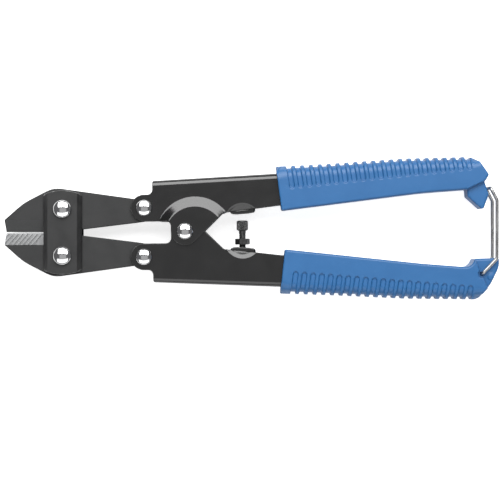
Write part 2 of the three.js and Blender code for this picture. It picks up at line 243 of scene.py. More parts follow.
class Region:
    """A triangulated flat region with feature lines and loose points in it."""

    def __init__(self, outer, holes=(), lines=(), points=()):
        verts, edges = [], []
        for loop, closed in [(outer, True), *[(h, True) for h in holes], *lines]:
            first = len(verts)
            verts += [Vector(p[:2]) for p in loop]
            edges += [(first + k, first + k + 1) for k in range(len(loop) - 1)]
            if closed:
                edges.append((len(verts) - 1, first))
        verts += [Vector(p[:2]) for p in points]
        made = delaunay_2d_cdt(verts, edges, [], 0, 1e-5)
        xy = np.array(made[0])
        triangles = np.array([f for f in made[2] if len(f) == 3])
        middle = xy[triangles].mean(axis=1)
        keep = inside(middle, outer)
        for hole in holes:
            keep &= ~inside(middle, hole)
        triangles = triangles[keep]
        a, b, c = (xy[triangles[:, k]] for k in range(3))
        area = (b - a)[:, 0] * (c - a)[:, 1] - (b - a)[:, 1] * (c - a)[:, 0]
        triangles[area < 0] = triangles[area < 0][:, ::-1]
        triangles = triangles[np.abs(area) > 1e-9]
        used = np.unique(triangles)
        number = np.full(len(xy), -1)
        number[used] = np.arange(len(used))
        self.xy = xy[used]
        self.faces = [tuple(int(v) for v in number[f]) for f in triangles]
        self.sources = [made[3][k] for k in used]
        self.rim = self._rim()

    def _rim(self):
        """Directed edges that only one triangle uses."""
        directed = {(f[k], f[(k + 1) % 3]) for f in self.faces for k in range(3)}
        return [(a, b) for a, b in directed if (b, a) not in directed]


def hugs(region, face, gap, radius):
    """Whether a face lies wholly on the rounded edge, and doesn't reach across from rim to rim."""
    corners = region.xy[list(face)]
    longest = np.hypot(*(corners - np.roll(corners, 1, axis=0)).T).max()
    return max(gap[list(face)]) < radius + 0.02 and longest < 4


def slab(region, top, bottom):
    """Closed solid over a region between two sets of heights."""
    count = len(region.xy)
    verts = [(x, y, z) for (x, y), z in zip(region.xy, top)]
    verts += [(x, y, z) for (x, y), z in zip(region.xy, bottom)]
    faces = list(region.faces)
    faces += [tuple(v + count for v in f[::-1]) for f in region.faces]
    faces += [(a, a + count, b + count, b) for a, b in sorted(region.rim)]
    return verts, faces


# ---- Meshes and pieces ----
def rings(loops, closed=False):
    """Faces between equal rings of points: a closed ring of rings, or one capped at both ends."""
    sides = len(loops[0])
    verts = [tuple(p) for loop in loops for p in loop]
    faces = []
    pairs = len(loops) if closed else len(loops) - 1
    for i in range(pairs):
        j = (i + 1) % len(loops)
        for k in range(sides):
            after = (k + 1) % sides
            faces.append((i * sides + k, i * sides + after, j * sides + after, j * sides + k))
    if not closed:
        faces.append(tuple(range(sides))[::-1])
        faces.append(tuple((len(loops) - 1) * sides + k for k in range(sides)))
    return verts, faces


def turned(profile, sides=64, centre=(0, 0)):
    """Rings about z through (radius, z) points, low end first."""
    return [[(*p, z) for p in circle(centre, radius, sides)] for radius, z in profile]


def tube(path, radius, sides=16):
    """Round wire along a path of points."""
    path = [Vector(p) for p in path]
    side = (path[1] - path[0]).orthogonal().normalized()
    loops = []
    for i, here in enumerate(path):
        along = (path[min(i + 1, len(path) - 1)] - path[max(i - 1, 0)]).normalized()
        side = (side - along * side.dot(along)).normalized()
        up = along.cross(side)
        ease = 0.75 if i in (0, len(path) - 1) else 1
        loops.append([
            here + (side * math.cos(a) + up * math.sin(a)) * radius * ease
            for a in np.linspace(0, 2 * math.pi, sides, endpoint=False)
        ])
    return rings(loops)


def bent_path(corners, bend, step=RAD(10)):
    """Straight runs through 3-D corners, with each bend a true arc."""
    corners = [Vector(c) for c in corners]
    path = [corners[0]]
    for before, here, after in zip(corners, corners[1:], corners[2:]):
        back = (before - here).normalized()
        ahead = (after - here).normalized()
        half = math.acos(max(-1, min(1, back.dot(ahead)))) / 2
        turn = math.pi - 2 * half
        centre = here + (back + ahead).normalized() * (bend / math.sin(half))
        start = here + back * (bend / math.tan(half)) - centre
        axis = start.cross(here - centre).normalized()
        steps = max(2, math.ceil(turn / step))
        for k in range(steps + 1):
            path.append(centre + Matrix.Rotation(turn * k / steps, 3, axis) @ start)
    path.append(corners[-1])
    spaced = [path[0]]
    for point in path[1:]:
        count = max(1, math.ceil((point - spaced[-1]).length / 1.5))
        start = spaced[-1]
        spaced += [start.lerp(point, (k + 1) / count) for k in range(count)]
    return spaced


def join(*parts):
    """One set of vertices and faces from several."""
    verts, faces = [], []
    for part_verts, part_faces in parts:
        offset = len(verts)
        verts += part_verts
        faces += [tuple(v + offset for v in face) for face in part_faces]
    return verts, faces


def add(name, data):
    """A new object in the scene."""
    made = bpy.data.objects.new(name, data)
    bpy.context.scene.collection.objects.link(made)
    return made


def solid(name, shape, place, mirror=False):
    """An object from drawn vertices and faces, in its place, with its faces outward."""
    verts, faces = shape
    flip = -1 if mirror else 1
    points = [(place @ Vector((x, flip * y, z))) * MM for x, y, z in verts]
    mesh = bpy.data.meshes.new(name)
    mesh.from_pydata(points, [], faces)
    mesh.validate()
    work = bmesh.new()
    work.from_mesh(mesh)
    bmesh.ops.recalc_face_normals(work, faces=work.faces)
    work.to_mesh(mesh)
    work.free()
    return add(name, mesh)


def shade(piece, crease):
    """Smooth shading up to the creases."""
    piece.data.shade_smooth()
    piece.data.set_sharp_from_angle(angle=crease)
    weighted = piece.modifiers.new("face weighted normals", "WEIGHTED_NORMAL")
    weighted.keep_sharp = True


def build(name, shape, place, materials, mirror=False, crease=RAD(25)):
    """A shaded piece with its materials."""
    piece = solid(name, shape, place, mirror)
    for material in materials:
        piece.data.materials.append(material)
    shade(piece, crease)
    return piece


def cut_out(piece, cutter):
    """Cuts a closed object out of a piece, and removes it."""
    cut = piece.modifiers.new("cut", "BOOLEAN")
    cut.operation = "DIFFERENCE"
    cut.solver = "EXACT"
    cut.object = cutter
    graph = bpy.context.evaluated_depsgraph_get()
    mesh = bpy.data.meshes.new_from_object(piece.evaluated_get(graph))
    piece.modifiers.clear()
    old = piece.data
    piece.data = mesh
    mesh.name = old.name
    bpy.data.meshes.remove(old)
    bpy.data.objects.remove(cutter)


def settle(piece, body, slot, *nodes):
    """The piece stands for its CAD nodes and moves with their body."""
    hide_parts(*nodes)
    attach(piece, body)
    return piece


def paint(piece, attribute, values):
    """Stores one number for each vertex, for a material to read."""
    layer = piece.data.attributes.new(attribute, "FLOAT", "POINT")
    layer.data.foreach_set("value", np.asarray(values, np.float32))


# ---- Materials ----
class Shader:
    """A material's node tree, with short calls for the nodes that it needs."""

    def __init__(self, name, **constants):
        self.material = bpy.data.materials.new(name)
        self.material.use_nodes = True
        self.tree = self.material.node_tree
        self.surface = self.tree.nodes["Principled BSDF"]
        for socket, value in constants.items():
            self.surface.inputs[socket.replace("_", " ")].default_value = value
        self.place = self.tree.nodes.new("ShaderNodeTexCoord").outputs["Object"]

    def plug(self, socket, value):
        """Links a value into a socket, or sets it there."""
        if isinstance(value, bpy.types.NodeSocket):
            self.tree.links.new(value, socket)
        else:
            socket.default_value = value

    def node(self, kind, inputs, **settings):
        made = self.tree.nodes.new("ShaderNode" + kind)
        for key, value in settings.items():
            setattr(made, key, value)
        for key, value in inputs.items():
            self.plug(made.inputs[key], value)
        return made

    def noise(self, size, detail=3, stretch=(1, 1, 1), turn=0, distortion=0):
        """Noise whose features are about size millimetres wide, stretched by factors."""
        scale = [1 / (size * MM * s) for s in stretch]
        inputs = {"Vector": self.place, "Rotation": (0, 0, turn), "Scale": scale}
        place = self.node("Mapping", inputs).outputs["Vector"]
        inputs = {"Vector": place, "Scale": 1, "Detail": detail, "Distortion": distortion}
        return self.node("TexNoise", inputs).outputs["Fac"]

    def spread(self, value, low, high, out_low=0.0, out_high=1.0):
        """A value taken from one range to another."""
        names = ("Value", "From Min", "From Max", "To Min", "To Max")
        inputs = dict(zip(names, (value, low, high, out_low, out_high)))
        return self.node("MapRange", inputs).outputs["Result"]

    def mix(self, factor, a, b):
        """Colour between a and b."""
        return self.node("Mix", {0: factor, 6: a, 7: b}, data_type="RGBA").outputs[2]

    def attribute(self, name):
        return self.node("Attribute", {}, attribute_name=name).outputs["Fac"]

    def bump(self, height, depth, under=None):
        """Bump of a depth in millimetres on the surface."""
        inputs = {"Height": height, "Strength": 1.0, "Distance": depth * MM}
        if under is not None:
            inputs["Normal"] = under
        return self.node("Bump", inputs).outputs["Normal"]

    def to(self, socket, value):
        self.tree.links.new(value, self.surface.inputs[socket])


def grey(value, tint=0.0):
    """A neutral colour, slightly cool or warm."""
    return (value * (1 - tint), value, value * (1 + tint), 1)


def blackened_steel(name, shade, seed_size):
    """Forged or stamped steel with a blackened, faintly grainy skin."""
    s = Shader(name, Metallic=0.35, IOR=1.5)
    grain = s.noise(0.35, 4)
    cloud = s.noise(seed_size, 3, distortion=0.4)
    tone = s.mix(s.spread(cloud, 0.3, 0.7), grey(shade * 0.86, 0.02), grey(shade * 1.1, 0.01))
    s.to("Base Color", s.mix(s.spread(grain, 0.45, 0.75, 0, 0.35), tone, grey(shade * 1.5)))
    s.to("Roughness", s.spread(cloud, 0.3, 0.7, 0.42, 0.56))
    coarse = s.bump(s.noise(2.5, 2), 0.006)
    s.to("Normal", s.bump(grain, 0.005, coarse))
    return s.material


def worn_edge(name, shade, bare):
    """The same skin on an edge, rubbed through to the steel in places."""
    s = Shader(name, IOR=1.5)
    patch = s.spread(s.noise(2.2, 4, distortion=0.6), 0.50, 0.66)
    s.to("Base Color", s.mix(patch, grey(shade * 1.25), grey(bare)))
    s.to("Metallic", s.spread(patch, 0, 1, 0.35, 0.9))
    s.to("Roughness", s.spread(patch, 0, 1, 0.42, 0.32))
    s.to("Normal", s.bump(s.noise(0.3, 3), 0.008))
    return s.material


def ground_steel():
    """Bright ground bevel, with the grinding lines running across it."""
    s = Shader("ground_steel", Metallic=1.0)
    fine = s.noise(0.10, 3, stretch=(1, 22, 22), turn=RAD(-40))
    line = s.attribute("groove")
    base = s.mix(s.spread(fine, 0.35, 0.65), grey(0.20, 0.01), grey(0.24, 0.01))
    s.to("Base Color", s.mix(line, base, grey(0.065, 0.03)))
    s.to("Roughness", s.spread(fine, 0.3, 0.7, 0.29, 0.34))
    s.to("Normal", s.bump(fine, 0.002))
    return s.material


def black_coat():
    """Black stove enamel: smooth and semi-gloss, with a faint orange peel."""
    s = Shader("black_coat", IOR=1.72)
    peel = s.noise(1.4, 2)
    cloud = s.noise(9, 3, distortion=0.5)
    speck = s.spread(s.noise(0.22, 2), 0.68, 0.74, 0, 0.5)
    tone = s.mix(s.spread(cloud, 0.3, 0.7), grey(0.0045), grey(0.0070))
    s.to("Base Color", s.mix(speck, tone, grey(0.02)))
    s.to("Roughness", s.spread(cloud, 0.3, 0.7, 0.13, 0.18))
    s.to("Normal", s.bump(peel, 0.004, s.bump(s.noise(0.25, 2), 0.0006)))
    return s.material


def bright_metal(name, shade, rough, size, stretch=(1, 1, 1)):
    """Plated or polished metal, with faint handling marks."""
    s = Shader(name, Metallic=1.0)
    marks = s.noise(size, 4, stretch=stretch)
    haze = s.noise(2.5, 2)
    s.to("Base Color", s.mix(s.spread(haze, 0.3, 0.7), grey(shade * 0.95), grey(shade, 0.008)))
    s.to("Roughness", s.spread(marks, 0.35, 0.7, rough * 0.8, rough * 1.35))
    s.to("Normal", s.bump(marks, 0.0012))
    return s.material


def dark_steel(name, shade, rough):
    """Blackened machine screw and nut."""
    s = Shader(name, Metallic=0.75)
    skin = s.noise(0.4, 4)
    s.to("Base Color", s.mix(s.spread(skin, 0.35, 0.7), grey(shade * 0.8), grey(shade * 1.3, 0.02)))
    s.to("Roughness", s.spread(skin, 0.3, 0.7, rough * 0.85, rough * 1.2))
    s.to("Normal", s.bump(skin, 0.004))
    return s.material


def blue_plastic():
    """Satin moulded plastic: fine spark texture, faint flow clouds, and painted shade with some dust
    in the grooves and inner corners.
    """
    s = Shader("blue_plastic", IOR=1.5)
    spark = s.noise(0.16, 3)
    flow = s.noise(11, 3, distortion=0.8)
    blue = s.mix(
        s.spread(flow, 0.25, 0.75), (0.019, 0.112, 0.292, 1), (0.024, 0.126, 0.318, 1)
    )
    scuff = s.spread(s.noise(1.1, 5, stretch=(3, 1, 1), distortion=1), 0.62, 0.8, 0, 0.12)
    blue = s.mix(scuff, blue, (0.10, 0.24, 0.46, 1))
    # Painted shade mixed with some dust: the groove attribute darkens the groove walls and inner
    # corners toward deep blue, with a mottled strength.
    dust_and_shade = s.spread(s.noise(3, 4), 0.3, 0.7, 0.35, 0.75)
    inputs = {0: s.attribute("groove"), 1: dust_and_shade}
    painted_shade_mix = s.node("Math", inputs, operation="MULTIPLY").outputs[0]
    s.to("Base Color", s.mix(painted_shade_mix, blue, (0.020, 0.080, 0.230, 1)))
    s.to("Roughness", s.spread(spark, 0.3, 0.7, 0.32, 0.42))
    s.to("Normal", s.bump(spark, 0.006, s.bump(s.noise(4, 2), 0.02)))
    return s.material


JAW_BLACK = blackened_steel("jaw_black", 0.028, 9)
# Painted light: a lighter copy of the jaw's black for the bevel and land of the face that isn't
# ground, standing in for the fill light they catch.
JAW_BEVEL_PAINTED_LIGHT = blackened_steel("jaw_bevel_painted_light", 0.060, 9)
JAW_EDGE = worn_edge("jaw_worn_edge", 0.045, 0.20)
STRAP_BLACK = blackened_steel("strap_black", 0.027, 6)
STRAP_EDGE = worn_edge("strap_worn_edge", 0.05, 0.20)
GROUND = ground_steel()
COAT = black_coat()
COAT_EDGE = worn_edge("coat_worn_edge", 0.022, 0.16)
CHROME = bright_metal("rivet_chrome", 0.86, 0.10, 0.5)
WIRE_STEEL = bright_metal("bail_wire", 0.44, 0.30, 1.2, (1, 5, 1))
SPRING_STEEL = bright_metal("spring_steel", 0.42, 0.30, 0.3)
BUSH_STEEL = bright_metal("bush_steel", 0.45, 0.34, 0.2, (1, 1, 0.2))
SCREW_STEEL = dark_steel("screw_steel", 0.10, 0.27)
NUT_STEEL = dark_steel("nut_steel", 0.052, 0.34)
BLUE = blue_plastic()


# ---- Jaws ----
TIP_X = -24.35
BEVEL_TOP = 5.3
BEVEL_END = -7.0
EDGE_Y = 0.15
EDGE_Z = 0.3
LAND_Y = 0.6
LAND_Z = 0.55
RELIEF_START = -1.6
RELIEF_SLOPE = math.tan(RAD(6.93))
JAW_EDGE_RADIUS = 0.32
GRIND_PITCH = 2.04
GRIND_LEAN = 0.84  # sideways run of a grinding line for each millimetre down the bevel
GRIND_HALF = 0.28
GRIND_DEPTH = 0.07


def relief(x):
    return EDGE_Y + (x - RELIEF_START) * RELIEF_SLOPE


def grind_depth(xy):
    """How deep a grinding line cuts, from 0 to 1."""
    across = xy[:, 0] - (TIP_X + 3.05) - (LAND_Y - xy[:, 1]) * GRIND_LEAN
    across = (across + GRIND_PITCH / 2) % GRIND_PITCH - GRIND_PITCH / 2
    return np.clip(1 - np.abs(across) / GRIND_HALF, 0, 1)


def jaw_height(xy, ground):
    """Height of a jaw's face: flat, with the bevel down to the cutting edge in front."""
    x, y = xy.T
    main = LAND_Z + (y - LAND_Y) * (JAW_HALF - LAND_Z) / (BEVEL_TOP - LAND_Y)
    land = EDGE_Z + (y - EDGE_Y) * (LAND_Z - EDGE_Z) / (LAND_Y - EDGE_Y)
    bevel = np.where(y < LAND_Y, land, np.minimum(main, JAW_HALF))
    if ground:
        on_bevel = (y > LAND_Y + 0.02) & (y < BEVEL_TOP - 0.02)
        bevel = bevel - GRIND_DEPTH * grind_depth(xy) * on_bevel
    return np.where(x < BEVEL_END - 0.01, bevel, JAW_HALF)


def jaw(name, mirror, ground_front):
    play = 0 if ground_front else OPEN_PIVOT_PLAY
    outer = rounded([
        (TIP_X, EDGE_Y),
        (RELIEF_START, EDGE_Y),
        (31, relief(31)),
        (LINK[0] + 5, LINK[1] - 5, 4.9),
        (LINK[0] + 5, LINK[1] + 5, 4.9),
        (31, 14.17),
        (-4.05, 19.05, 10),
        (-16.8, 12.45, 20),
        (TIP_X - 0.5, BEVEL_TOP, 0.6),
    ])
    holes = [circle((0, JAW_PIVOT_Y), JAW_SHANK + GAP), circle(LINK, LINK_SHANK + GAP + play)]
    lines = [
        straight((-26, BEVEL_TOP), (BEVEL_END, BEVEL_TOP)),
        straight((-26, LAND_Y), (BEVEL_END, LAND_Y)),
        straight((BEVEL_END - 0.03, -1), (BEVEL_END - 0.03, BEVEL_TOP)),
        straight((BEVEL_END, -1), (BEVEL_END, BEVEL_TOP)),
    ]
    for k in range(-1, 10):
        for offset in (-GRIND_HALF, 0, GRIND_HALF):
            foot = Vector((TIP_X + 3.05 + k * GRIND_PITCH + offset, LAND_Y + 0.03))
            rise = BEVEL_TOP - LAND_Y - 0.06
            head = foot + Vector((-GRIND_LEAN * rise, rise))
            if foot.x < BEVEL_END - 0.1:
                lines.append(straight(foot, head))
    lines += edge_lines(outer, JAW_EDGE_RADIUS)
    region = Region(outer, holes, lines)
    gap, _ = distance_to(region.xy, outer)
    on_edge = (region.xy[:, 1] < BEVEL_TOP + 0.3) & (region.xy[:, 0] < BEVEL_END + 1)
    drop = np.where(on_edge, 0, edge_drop(gap, JAW_EDGE_RADIUS))
    top = jaw_height(region.xy, ground_front) - drop
    bottom = drop - jaw_height(region.xy, not ground_front)
    skins = [JAW_BLACK, JAW_EDGE, GROUND, JAW_BEVEL_PAINTED_LIGHT]
    piece = build(name, slab(region, top, bottom), HEAD, skins, mirror)
    groove = grind_depth(region.xy)
    paint(piece, "groove", np.concatenate([groove, groove]))
    shade_jaw(piece, region, gap, ground_front)
    return piece


def shade_jaw(piece, region, gap, ground_front):
    """Ground steel on one face's bevel and land, painted light on the other face's bevel and land (a
    lighter copy of the black), and a worn skin on the rounded edges.
    """
    count = len(region.faces)
    for polygon in piece.data.polygons:
        if polygon.index >= 2 * count:
            polygon.material_index = 0
            continue
        face = region.faces[polygon.index % count]
        x, y = region.xy[list(face)].mean(axis=0)
        front = polygon.index < count
        if x < BEVEL_END and y < BEVEL_TOP:
            polygon.material_index = 2 if front == ground_front else 3
        elif hugs(region, face, gap, JAW_EDGE_RADIUS):
            polygon.material_index = 1


settle(jaw("upper_jaw_forged", False, False), "upper_jaw", "jaw_steel", "upper_jaw")
settle(jaw("lower_jaw_forged", True, True), "lower_jaw", "jaw_steel", "lower_jaw")

# ---- Straps ----
STRAP_HALF_WIDTH = 8.15
STRAP_CHAMFER = 1.9
STRAP_EDGE_RADIUS = 0.25


def strap(name, side):
    outer = rounded([
        (-STRAP_HALF_WIDTH, -16.1, 0.9),
        (0, -19, 19),
        (STRAP_HALF_WIDTH, -16.1, 0.9),
        (STRAP_HALF_WIDTH, 16.1, 0.9),
        (0, 19, 19),
        (-STRAP_HALF_WIDTH, 16.1, 0.9),
    ], RAD(5))
    flat = STRAP_HALF_WIDTH - STRAP_CHAMFER
    lines = [straight((x, -20), (x, 20)) for x in (-flat, flat)]
    lines += edge_lines(outer, STRAP_EDGE_RADIUS)
    holes = [circle((0, y), JAW_SHANK + GAP) for y in (JAW_PIVOT_Y, -JAW_PIVOT_Y)]
    region = Region(outer, holes, lines)
    gap, _ = distance_to(region.xy, outer)
    drop = edge_drop(gap, STRAP_EDGE_RADIUS)
    chamfer = np.clip(np.abs(region.xy[:, 0]) - flat, 0, STRAP_CHAMFER)
    outside = side * (STRAP_OUT - chamfer - drop)
    under = side * (STRAP_IN + drop)
    top, bottom = (outside, under) if side > 0 else (under, outside)
    piece = build(name, slab(region, top, bottom), HEAD, [STRAP_BLACK, STRAP_EDGE])
    for polygon in piece.data.polygons[: 2 * len(region.faces)]:
        face = region.faces[polygon.index % len(region.faces)]
        polygon.material_index = int(hugs(region, face, gap, STRAP_EDGE_RADIUS))
    return piece


settle(strap("front_strap_plate", 1), "strap", "strap_steel", "front_strap")
settle(strap("rear_strap_plate", -1), "strap", "strap_steel", "rear_strap")


# ---- Rivets and bush ----
def rivet(name, place, centre, node, shank, seat):
    """Domed rivet with a small flat collar under each head, sized from its CAD node."""
    low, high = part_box(node)
    head = (high.x - low.x) / 2 / MM
    height = (high.z - low.z) / 2 / MM
    rim = 0.32
    upper = [(shank, 0), (shank, seat), (head - 0.14, seat), (head, seat + 0.14), (head, seat + rim)]
    rise = height - seat - rim
    for angle in np.linspace(0, math.pi / 2, 19)[1:]:
        upper.append((max(head * math.cos(angle), 0.02), seat + rim + rise * math.sin(angle)))
    profile = [(radius, -z) for radius, z in upper[:0:-1]] + upper
    shape = rings(turned(profile, 72, centre))
    return build(name, shape, place, [CHROME], crease=RAD(40))


def rivets():
    for name, sign in (("upper", 1), ("lower", -1)):
        node = name + "_jaw_rivet"
        centre = (0, sign * JAW_PIVOT_Y)
        piece = rivet(node + "_dome", HEAD, centre, node, JAW_SHANK, STRAP_OUT + GAP)
        settle(piece, "strap", "rivet_chrome", node)
        node = name + "_link_rivet"
        centre = (LINK[0], sign * LINK[1])
        piece = rivet(node + "_dome", HEAD, centre, node, LINK_SHANK, CHANNEL_OUT + GAP)
        settle(piece, name + "_handle", "rivet_chrome", node)
    node = "pivot_rivet"
    piece = rivet(node + "_dome", PAIR, (0, 0), node, CENTRE_SHANK, LUG_OUT + GAP)
    settle(piece, "lower_handle", "rivet_chrome", node)


def bush():
    inner, outer, edge = 2.4, 3.2, 0.2
    section = [
        (inner, edge - JAW_HALF),
        (inner + edge, -JAW_HALF),
        (outer - edge, -JAW_HALF),
        (outer, edge - JAW_HALF),
    ]
    section += [(radius, -z) for radius, z in section[::-1]]
    shape = rings(turned(section, 64), closed=True)
    piece = build("pivot_bush_ring", shape, PAIR, [BUSH_STEEL])
    settle(piece, "lower_handle", "bush_steel", "pivot_bush")


rivets()
bush()

# ---- Handles ----
WEB_FRONT = Vector((-13.75, 21.7))
WEB_SLOPE = RAD(2.67)
WEB_ALONG = Vector((math.cos(WEB_SLOPE), math.sin(WEB_SLOPE)))
WEB_OUT = Vector((-math.sin(WEB_SLOPE), math.cos(WEB_SLOPE)))
BEND = 2.5
EAR = 5.65
LUG = 5.95
NOTCH = math.tan(RAD(90 - 44.3) / 2)
HEEL = (16.28, 7.66)
INNER_SLOPE = math.tan(RAD(6.87))
TANG_END = 108
STEP_CENTRE = (4.2, -2.1)
STEP_FLAT = 12.35
STEP_FOOT = 16.9
BOWL_CENTRE = (24.4, 3.9)
BOWL_RIM = 8.1
BOWL_SLOPE = 6.9
BOWL_FLOOR = 4.5
RIM_RADIUS = 0.28
PAD_HALF_WIDTH = 4.0
PAD_EDGE = 0.4
PAD_INNER = [
    (18.9, 8.2), (19.5, 7.4), (20.4, 7.05), (22.0, 6.95), (27.0, 7.3), (29.3, 7.7), (29.9, 8.3)
]
PAD_OUTER = [(18.9, 9.4), (21.2, 8.75), (22.0, 8.6), (26.5, 9.05), (27.4, 9.3), (29.9, 10.0)]
STOP_U = (TO_PAIR @ ((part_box("stop_screw")[0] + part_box("stop_screw")[1]) / 2 / MM)).x


def web_v(u):
    return WEB_FRONT.y + (u - WEB_FRONT.x) * math.tan(WEB_SLOPE)


def inner_v(u):
    return HEEL[1] + (u - HEEL[0]) * INNER_SLOPE


def below_web(xy):
    """Depth of points below the web's outer face."""
    return (np.array(WEB_FRONT) - xy) @ np.array(WEB_OUT)


def wall_height(xy, stepped):
    """Outer face of a side wall: the step round the pivot and the bowl at the stop pad."""
    height = np.full(len(xy), CHANNEL_OUT)
    if stepped:
        radius = np.hypot(*(xy - STEP_CENTRE).T)
        step = ramp((STEP_FOOT - radius) / (STEP_FOOT - STEP_FLAT), 0.16)
        height += (LUG_OUT - CHANNEL_OUT) * step
    radius = np.hypot(*(xy - BOWL_CENTRE).T)
    height -= 0.4 * ramp((BOWL_RIM - radius) / (BOWL_RIM - BOWL_SLOPE), 0.4)
    return height - 1.3 * ramp((BOWL_SLOPE - radius) / (BOWL_SLOPE - BOWL_FLOOR), 0.15)


def wall_surface(xy, stepped):
    """Outer points and outward normals of the sheet, from the bend at the web to the wall."""
    depth = below_web(xy)
    step = 0.01
    slope = [
        (wall_height(xy + shift, stepped) - wall_height(xy - shift, stepped)) / (2 * step)
        for shift in np.array([(step, 0), (0, step)])
    ]
    normal = np.stack([-slope[0], -slope[1], np.ones(len(xy))], axis=1)
    height = wall_height(xy, stepped)
    across = np.clip((BEND - depth) / BEND, 0, 1)
    bent = depth < BEND
    lift = np.sqrt(1 - across**2)
    curved = np.stack([across * WEB_OUT.x, across * WEB_OUT.y, lift], axis=1)
    normal[bent] = curved[bent]
    height[bent] = (CHANNEL_OUT - BEND + BEND * lift)[bent]
    normal /= np.linalg.norm(normal, axis=1)[:, None]
    return np.column_stack([xy, height]), normal


def handle_outline(ear):
    """Closed side view, and the same line without the stretch along the web."""
    outer = rounded([
        (TANG_END, web_v(TANG_END)),
        (*WEB_FRONT, 0.8),
        (WEB_FRONT.x, ear[1] + EAR, 2.1),
        (ear[0] - EAR, ear[1] + EAR, EAR),
        (ear[0] - EAR, ear[1] - EAR, EAR),
        (-LUG, ear[1] - EAR, 2.3),
        (-LUG, -LUG / NOTCH, LUG),
        (*HEEL, 1.5),
        (TANG_END, inner_v(TANG_END)),
    ], RAD(6))
    return outer, outer[1:]


def handle_sheet(ear, stepped):
    """The bent sheet: both walls and the web, with rounded rims."""
    outer, rim = handle_outline(ear)
    lines = []
    for angle in range(15, 91, 15):
        shift = -WEB_OUT * BEND * (1 - math.cos(RAD(angle)))
        ends = (WEB_FRONT + WEB_ALONG * along + shift for along in (-2, 130))
        lines.append(straight(*ends))
    lines += edge_lines(rim, RIM_RADIUS, closed=False)
    circles = [(BOWL_CENTRE, np.linspace(BOWL_FLOOR, BOWL_RIM, 12))]
    if stepped:
        circles.append((STEP_CENTRE, np.linspace(STEP_FLAT, STEP_FOOT, 13)))
    for centre, radii in circles:
        for radius in radii:
            lines.append((circle(centre, radius, 90), True))
    holes = [circle(ear, LINK_SHANK + GAP), circle((0, 0), CENTRE_SHANK + GAP)]
    region = Region(outer, holes, lines)
    gap, _ = distance_to(region.xy, rim, closed=False)
    drop = edge_drop(gap, RIM_RADIUS)[:, None]
    points, normals = wall_surface(region.xy, stepped)
    outside = points - normals * drop
    within = points - normals * (SHEET - drop)
    return channel_shell(region, outside, within, gap)


def channel_shell(region, outside, within, gap):
    """Closed shell from one wall's outer and inner points, mirrored and joined across the web."""
    count = len(region.xy)
    turn = np.array([1, 1, -1])
    verts = [*outside, *within, *(outside * turn), *(within * turn)]
    at_web = below_web(region.xy) < 1e-3
    faces, edge_faces = [], set()
    for face in region.faces:
        if hugs(region, face, gap, RIM_RADIUS):
            edge_faces.update((len(faces), len(faces) + 1, len(faces) + 2, len(faces) + 3))
        faces.append(face)
        faces.append(tuple(v + count for v in face[::-1]))
        faces.append(tuple(v + 2 * count for v in face[::-1]))
        faces.append(tuple(v + 3 * count for v in face))
    ends = {}
    for a, b in sorted(region.rim):
        if at_web[a] and at_web[b]:
            faces.append((a, a + 2 * count, b + 2 * count, b))
            faces.append((b + count, b + 3 * count, a + 3 * count, a + count))
            ends[a] = ends.get(a, 0) + 1
            ends[b] = ends.get(b, 0) - 1
        else:
            faces.append((a, a + count, b + count, b))
            faces.append((b + 2 * count, b + 3 * count, a + 3 * count, a + 2 * count))
    for v, sign in ends.items():
        if sign:
            across = (v, v + count, v + 3 * count, v + 2 * count)
            faces.append(across if sign > 0 else across[::-1])
    verts = [tuple(float(n) for n in v) for v in verts]
    return verts, faces, edge_faces


def stop_pad(threaded):
    """Tab bent in across the channel's mouth, drawn flat and given its bent thickness along v."""
    low, high = PAD_INNER[0][0], PAD_INNER[-1][0]
    half = PAD_HALF_WIDTH
    corners = [(low, -half), (high, -half), (high, half), (low, half)]
    outer = rounded([(*corner, 0.9) for corner in corners])
    lines = [straight((u, -5), (u, 5)) for u in np.arange(19.5, 29.8, 0.5)]
    lines += edge_lines(outer, PAD_EDGE)
    holes = [circle((STOP_U, 0), 1.65)] if threaded else []
    region = Region(outer, holes, lines)
    gap, _ = distance_to(region.xy, outer)
    inner, outside = (np.interp(region.xy[:, 0], *zip(*line)) for line in (PAD_INNER, PAD_OUTER))
    drop = edge_drop(gap, PAD_EDGE)
    verts, faces = slab(region, outside - drop, inner + drop)
    return [(x, z, y) for x, y, z in verts], [face[::-1] for face in faces]


def handle(name, ear, stepped, mirror):
    verts, faces, edge_faces = handle_sheet(ear, stepped)
    shape = join((verts, faces), stop_pad(threaded=mirror))
    piece = build(name, shape, PAIR, [COAT, COAT_EDGE], mirror, crease=RAD(34))
    for polygon in piece.data.polygons:
        polygon.material_index = int(polygon.index in edge_faces)
    return piece


upper_ear = TO_PAIR @ (HEAD @ Vector((*LINK, 0)))
lower_ear = TO_PAIR @ (HEAD @ Vector((LINK[0], -LINK[1], 0)))
piece = handle("upper_handle_pressed", (upper_ear.x, upper_ear.y), True, False)
settle(piece, "upper_handle", "handle_steel", "upper_handle")
piece = handle("lower_handle_pressed", (lower_ear.x, -lower_ear.y), False, True)
settle(piece, "lower_handle", "handle_steel", "lower_handle")

# ---- Grips ----
OUTER_ROUND = 4.7
INNER_ROUND = 1.0
FRONT_ROUND = 0.55
GROOVES = 21
GROOVE_LEAN = math.tan(RAD(8.2))
GROOVE_BED = 0.85  # half width of a groove's flat bed
GROOVE_WALL = 0.42  # width of each sloping wall
GROOVE_SIDE = 0.65  # depth on the flat side of the grip
GROOVE_BACK = 1.0  # depth on its long outer edge
GROOVE_END = (45.4, 17.3, math.tan(RAD(5.34)))
HOOK_HALF = 6.5
RECESS_HALF = 6.4
STEP_WALL = 0.12
POCKET = 1.7  # radius of the recess round the latch's pivot
COLLAR_TOP = 26.95
COLLAR_LEAN = 2.2


def edge_rise(gap, radius, height):
    return height - edge_drop(gap, radius)


